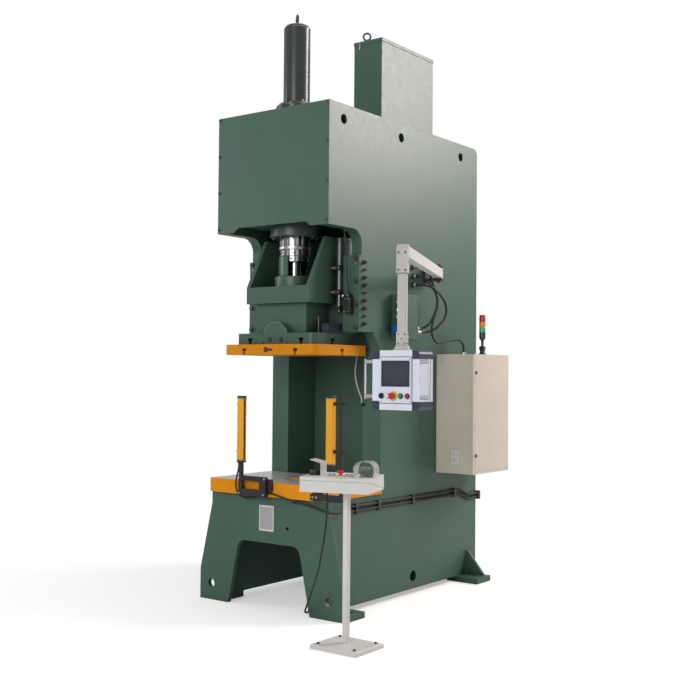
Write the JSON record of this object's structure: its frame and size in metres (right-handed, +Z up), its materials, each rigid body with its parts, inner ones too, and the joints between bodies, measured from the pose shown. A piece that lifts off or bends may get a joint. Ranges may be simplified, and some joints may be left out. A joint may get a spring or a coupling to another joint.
{
  "type": "hydraulic press",
  "caption": "Hydraulic C-frame press with a guided slide, bolster table, swinging touch panel, side electric cabinet, light curtains and a two-hand pedestal.",
  "frame": {"origin": "floor, at the centre of the four anchor-bolt holes", "axes": "+Z up, the press's front faces -Y, +X to the right seen from the front"},
  "size_m": [1.992, 2.5352, 3.816],
  "materials": {
    "green_paint": "semi-gloss enamel",
    "yellow_paint": "semi-gloss enamel",
    "slide_paint": "semi-gloss enamel",
    "bright_steel": "ground and turned",
    "tail_paint": "satin enamel",
    "black_metal": "powder coat",
    "fitting_metal": "plated",
    "cream_paint": "textured powder coat",
    "device_plastic": "moulded",
    "white_paint": "powder coat",
    "curtain_yellow": "powder coat",
    "beacon_plastic": "clear moulded",
    "hose_rubber": "matte",
    "pale_hose": "smooth",
    "panel_grey": "fine texture",
    "panel_dark": "fine texture",
    "screen_glass": "smooth",
    "black_plastic": "fine texture",
    "red_plastic": "smooth",
    "green_plastic": "smooth"
  },
  "bodies": {
    "frame": {"side_plate_left": "green_paint", "side_plate_right": "green_paint", "throat_plates": "green_paint", "top_rear_plate": "green_paint", "cylinder_plate": "green_paint", "front_cover": "green_paint", "base_apron": "green_paint", "anchor_feet": "green_paint", "bolster": "yellow_paint", "main_cylinder": "green_paint", "cylinder_tail": "tail_paint", "valve_box": "green_paint", "valve_box_lid": "green_paint", "front_gibs": "slide_paint", "gib_bars": "bright_steel", "gib_bolts": "black_metal", "limit_switch": "black_metal", "junction_box": "green_paint", "cable_fittings": "fitting_metal", "cabinet_shell": "cream_paint", "cabinet_devices": "device_plastic", "arm_bracket": "black_metal", "pedestal_stand": "white_paint", "pedestal_box": "white_paint", "pedestal_lid": "white_paint", "palm_guards": "white_paint", "light_curtains": "curtain_yellow", "curtain_brackets": "black_metal", "stack_light": "beacon_plastic", "hose_upper": "hose_rubber", "hose_lower": "hose_rubber", "cabinet_cable": "hose_rubber", "side_conduits": "hose_rubber", "curtain_cable": "hose_rubber", "pedestal_cable": "hose_rubber", "throat_hose": "pale_hose", "switch_cable": "hose_rubber"},
    "ram": {"piston_rod": "bright_steel", "lock_ring": "bright_steel", "coupling_cup": "slide_paint", "slide_body": "slide_paint", "slide_plate": "yellow_paint", "shank_clamp": "slide_paint", "trip_rod": "bright_steel", "flange_block": "panel_dark"},
    "arm": {"arm_tube": "white_paint", "arm_post": "white_paint"},
    "panel": {"panel_housing": "panel_grey", "panel_corners": "panel_dark", "panel_front": "panel_grey", "touch_screen": "screen_glass", "panel_handles": "panel_dark"},
    "selector": {"selector_knob": "black_plastic"},
    "panel_stop_head": {"panel_estop": "red_plastic"},
    "start_cap": {"start_button": "green_plastic"},
    "stop_cap": {"stop_button": "red_plastic"},
    "palm_left": {"palm_button_left": "black_plastic"},
    "palm_right": {"palm_button_right": "black_plastic"},
    "pedestal_stop_head": {"pedestal_estop": "red_plastic"},
    "door": {"cabinet_door": "cream_paint"},
    "lock_top": {"lock_upper": "fitting_metal"},
    "lock_bottom": {"lock_lower": "fitting_metal"}
  },
  "joints": [
    {"name": "ram_slide", "type": "slide", "parent": "frame", "child": "ram", "axis": [0, 0, -1], "range_m": [0, 0.4]},
    {"name": "arm_swing", "type": "hinge", "parent": "frame", "child": "arm", "pos_m": [0.563, 0.258, 2.2], "axis": [0, 0, 1], "range_deg": [0, 90]},
    {"name": "panel_swivel", "type": "hinge", "parent": "arm", "child": "panel", "pos_m": [1.122, -1.04, 1.65], "axis": [0, 0, 1], "range_deg": [-90, 90]},
    {"name": "selector_turn", "type": "hinge", "parent": "panel", "child": "selector", "pos_m": [1.032, -1.12, 1.39], "axis": [0, 1, 0], "range_deg": [-45, 45]},
    {"name": "panel_stop_press", "type": "slide", "parent": "panel", "child": "panel_stop_head", "axis": [0, 1, 0], "range_m": [0, 0.004], "stiffness_N_per_m": 800},
    {"name": "start_press", "type": "slide", "parent": "panel", "child": "start_cap", "axis": [0, 1, 0], "range_m": [0, 0.003], "stiffness_N_per_m": 500},
    {"name": "stop_press", "type": "slide", "parent": "panel", "child": "stop_cap", "axis": [0, 1, 0], "range_m": [0, 0.003], "stiffness_N_per_m": 500},
    {"name": "palm_left_press", "type": "slide", "parent": "frame", "child": "palm_left", "axis": [0, 0, -1], "range_m": [0, 0.006], "stiffness_N_per_m": 900, "springref_m": -0.002},
    {"name": "palm_right_press", "type": "slide", "parent": "frame", "child": "palm_right", "axis": [0, 0, -1], "range_m": [0, 0.006], "stiffness_N_per_m": 900, "springref_m": -0.002},
    {"name": "pedestal_stop_press", "type": "slide", "parent": "frame", "child": "pedestal_stop_head", "axis": [0, 0, -1], "range_m": [0, 0.005], "stiffness_N_per_m": 900, "springref_m": -0.002},
    {"name": "cabinet_door_hinge", "type": "hinge", "parent": "frame", "child": "door", "pos_m": [0.748, 0.914, 1.236], "axis": [0, 0, 1], "range_deg": [0, 110]},
    {"name": "upper_lock_turn", "type": "hinge", "parent": "door", "child": "lock_top", "pos_m": [0.769, 0.427, 1.526], "axis": [1, 0, 0], "range_deg": [0, 90]},
    {"name": "lower_lock_turn", "type": "hinge", "parent": "door", "child": "lock_bottom", "pos_m": [0.769, 0.427, 0.946], "axis": [1, 0, 0], "range_deg": [0, 90]}
  ]
}
